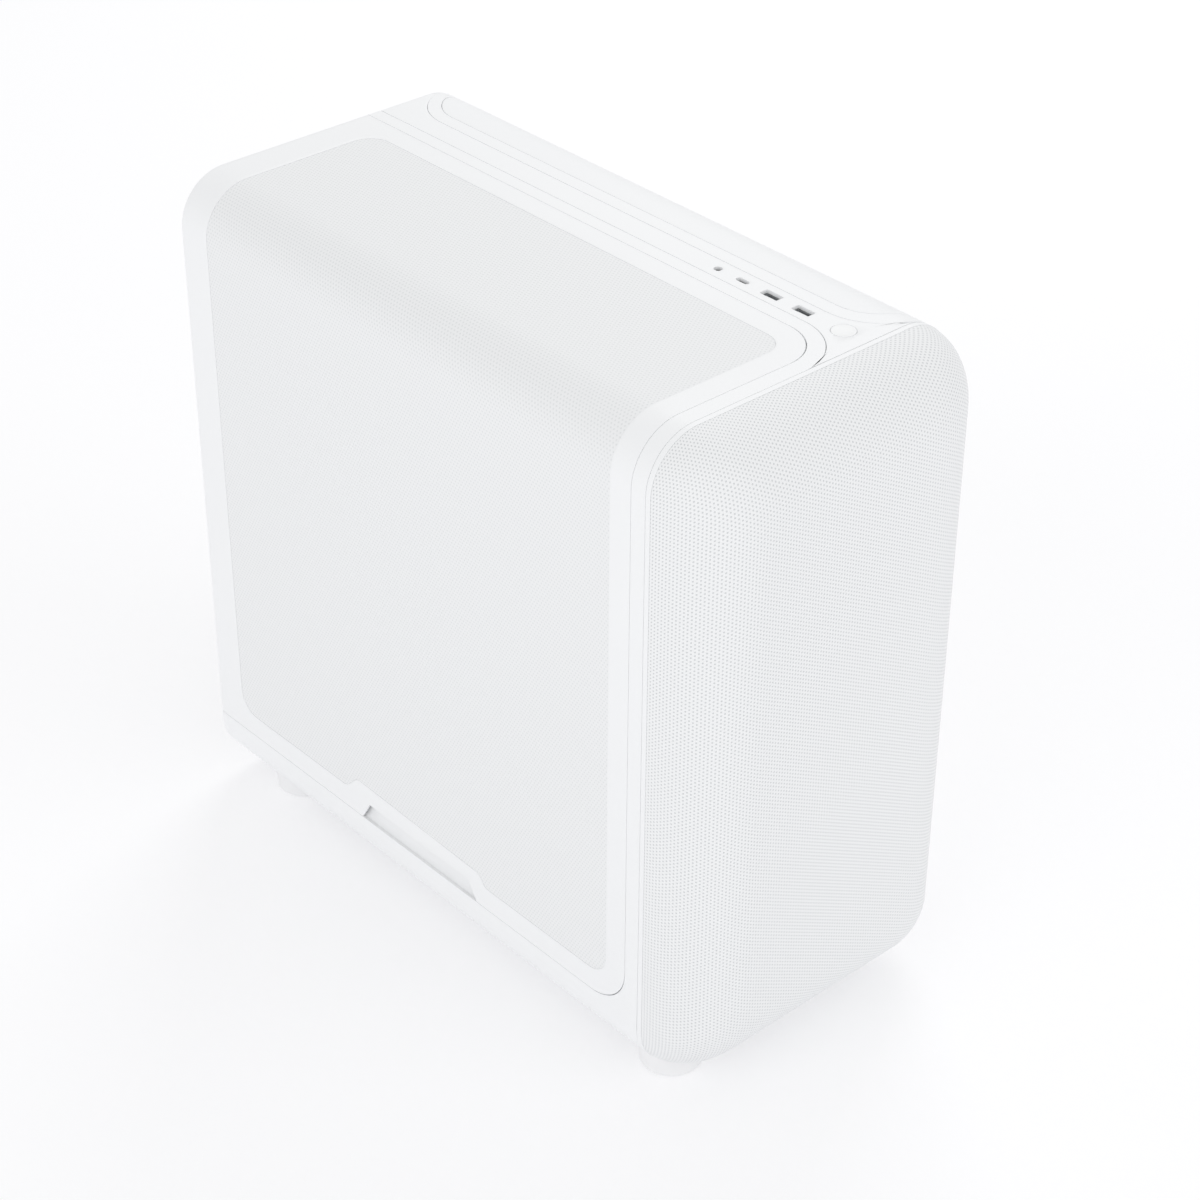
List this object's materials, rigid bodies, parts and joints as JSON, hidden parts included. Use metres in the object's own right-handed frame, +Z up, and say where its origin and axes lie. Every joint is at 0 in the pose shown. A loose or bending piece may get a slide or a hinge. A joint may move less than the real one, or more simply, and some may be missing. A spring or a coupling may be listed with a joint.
{
  "type": "desktop tower computer",
  "caption": "White tower computer with rounded edges, finely perforated side and front, top ports, round power button and pull-off panels.",
  "frame": {"origin": "middle of the footprint, on the plane the feet rest on", "axes": "+X towards the plain right panel, -Y towards the perforated front, +Y towards the rear sockets, +Z up"},
  "size_m": [0.24, 0.492, 0.472],
  "materials": {
    "panel_sheet": "white powder coat",
    "mesh_sheet": "white powder coat, finely perforated",
    "filter_cloth": "fine white nylon mesh",
    "shell_plastic": "fine moulded texture",
    "button_plastic": "smooth",
    "chassis_steel": "white powder coat",
    "foot_rubber": "matt",
    "filter_frame": "matt black",
    "fan_frame": "satin",
    "fan_blade": "satin",
    "circuit_board": "solder mask",
    "shield_steel": "brushed",
    "port_steel": "stamped",
    "socket_plastic": "moulded",
    "memory_metal": "white coated",
    "sink_aluminium": "bare fins",
    "card_plastic": "satin white",
    "supply_metal": "black powder coat",
    "supply_inside": "board and coils",
    "supply_blade": "satin",
    "drive_case": "anodised"
  },
  "bodies": {
    "chassis": {"left_frame": "shell_plastic", "right_frame": "shell_plastic", "top_strip": "shell_plastic", "base_pan": "chassis_steel", "rear_wall": "chassis_steel", "front_wall": "chassis_steel", "board_tray": "chassis_steel", "supply_cover": "chassis_steel", "roof_rail": "chassis_steel", "slot_cover_1": "chassis_steel", "slot_cover_2": "chassis_steel", "slot_cover_3": "chassis_steel", "slot_cover_4": "chassis_steel", "slot_cover_5": "chassis_steel", "foot_1": "foot_rubber", "foot_2": "foot_rubber", "foot_3": "foot_rubber", "foot_4": "foot_rubber", "front_fan_1": "fan_frame", "front_fan_2": "fan_frame", "front_fan_3": "fan_frame", "rear_fan": "fan_frame", "cooler_fan": "fan_frame", "mainboard": "circuit_board", "port_card": "circuit_board", "graphics_board": "circuit_board", "port_shield": "shield_steel", "usb_a_1": "port_steel", "usb_a_2": "port_steel", "usb_c": "port_steel", "port_block": "socket_plastic", "headset_jack": "socket_plastic", "button_switch": "socket_plastic", "supply_inlet": "socket_plastic", "memory_1": "memory_metal", "memory_2": "memory_metal", "cooler_sink": "sink_aluminium", "graphics_cover": "card_plastic", "supply_can": "supply_metal", "supply_core": "supply_inside", "drive": "drive_case"},
    "left_cover": {"left_panel": "panel_sheet", "left_mesh": "mesh_sheet", "left_filter": "filter_cloth"},
    "right_cover": {"right_panel": "panel_sheet"},
    "front_cover": {"front_rim": "shell_plastic", "front_mesh": "mesh_sheet", "front_filter": "filter_cloth"},
    "bottom_tray": {"base_filter": "filter_frame"},
    "button": {"power_button": "button_plastic"},
    "rocker": {"supply_rocker": "socket_plastic"},
    "front_impeller_1": {"front_rotor_1": "fan_blade"},
    "front_impeller_2": {"front_rotor_2": "fan_blade"},
    "front_impeller_3": {"front_rotor_3": "fan_blade"},
    "rear_impeller": {"rear_rotor": "fan_blade"},
    "cooler_impeller": {"cooler_rotor": "fan_blade"},
    "card_impeller_1": {"graphics_rotor_1": "fan_blade"},
    "card_impeller_2": {"graphics_rotor_2": "fan_blade"},
    "supply_impeller": {"supply_rotor": "supply_blade"}
  },
  "joints": [
    {"name": "left_cover_pull", "type": "slide", "parent": "chassis", "child": "left_cover", "axis": [-1, 0, 0], "range_m": [0, 0.19]},
    {"name": "right_cover_pull", "type": "slide", "parent": "chassis", "child": "right_cover", "axis": [1, 0, 0], "range_m": [0, 0.09]},
    {"name": "front_cover_pull", "type": "slide", "parent": "chassis", "child": "front_cover", "axis": [0, -1, 0], "range_m": [0, 0.08]},
    {"name": "bottom_filter_slide", "type": "slide", "parent": "chassis", "child": "bottom_tray", "axis": [0, 1, 0], "range_m": [0, 0.2]},
    {"name": "power_press", "type": "slide", "parent": "chassis", "child": "button", "axis": [0, 0, -1], "range_m": [0, 0.001], "stiffness_N_per_m": 500, "springref_m": -0.0004},
    {"name": "supply_rocker_tilt", "type": "hinge", "parent": "chassis", "child": "rocker", "pos_m": [0.054, 0.2395, 0.087], "axis": [1, 0, 0], "range_deg": [-13, 0]},
    {"name": "front_fan_1_spin", "type": "hinge", "parent": "chassis", "child": "front_impeller_1", "pos_m": [0, -0.1832, 0.122], "axis": [0, 1, 0], "continuous": true},
    {"name": "front_fan_2_spin", "type": "hinge", "parent": "chassis", "child": "front_impeller_2", "pos_m": [0, -0.1832, 0.2435], "axis": [0, 1, 0], "continuous": true},
    {"name": "front_fan_3_spin", "type": "hinge", "parent": "chassis", "child": "front_impeller_3", "pos_m": [0, -0.1832, 0.365], "axis": [0, 1, 0], "continuous": true},
    {"name": "rear_fan_spin", "type": "hinge", "parent": "chassis", "child": "rear_impeller", "pos_m": [-0.052, 0.2287, 0.384], "axis": [0, 1, 0], "continuous": true},
    {"name": "cooler_fan_spin", "type": "hinge", "parent": "chassis", "child": "cooler_impeller", "pos_m": [-0.0148, 0.0933, 0.362], "axis": [0, 1, 0], "continuous": true},
    {"name": "card_fan_1_spin", "type": "hinge", "parent": "chassis", "child": "card_impeller_1", "pos_m": [0.011, 0.04, 0.21068], "axis": [0, 0, 1], "continuous": true},
    {"name": "card_fan_2_spin", "type": "hinge", "parent": "chassis", "child": "card_impeller_2", "pos_m": [0.011, 0.145, 0.21068], "axis": [0, 0, 1], "continuous": true},
    {"name": "supply_fan_spin", "type": "hinge", "parent": "chassis", "child": "supply_impeller", "pos_m": [0.011, 0.1627, 0.031], "axis": [0, 0, 1], "continuous": true}
  ]
}
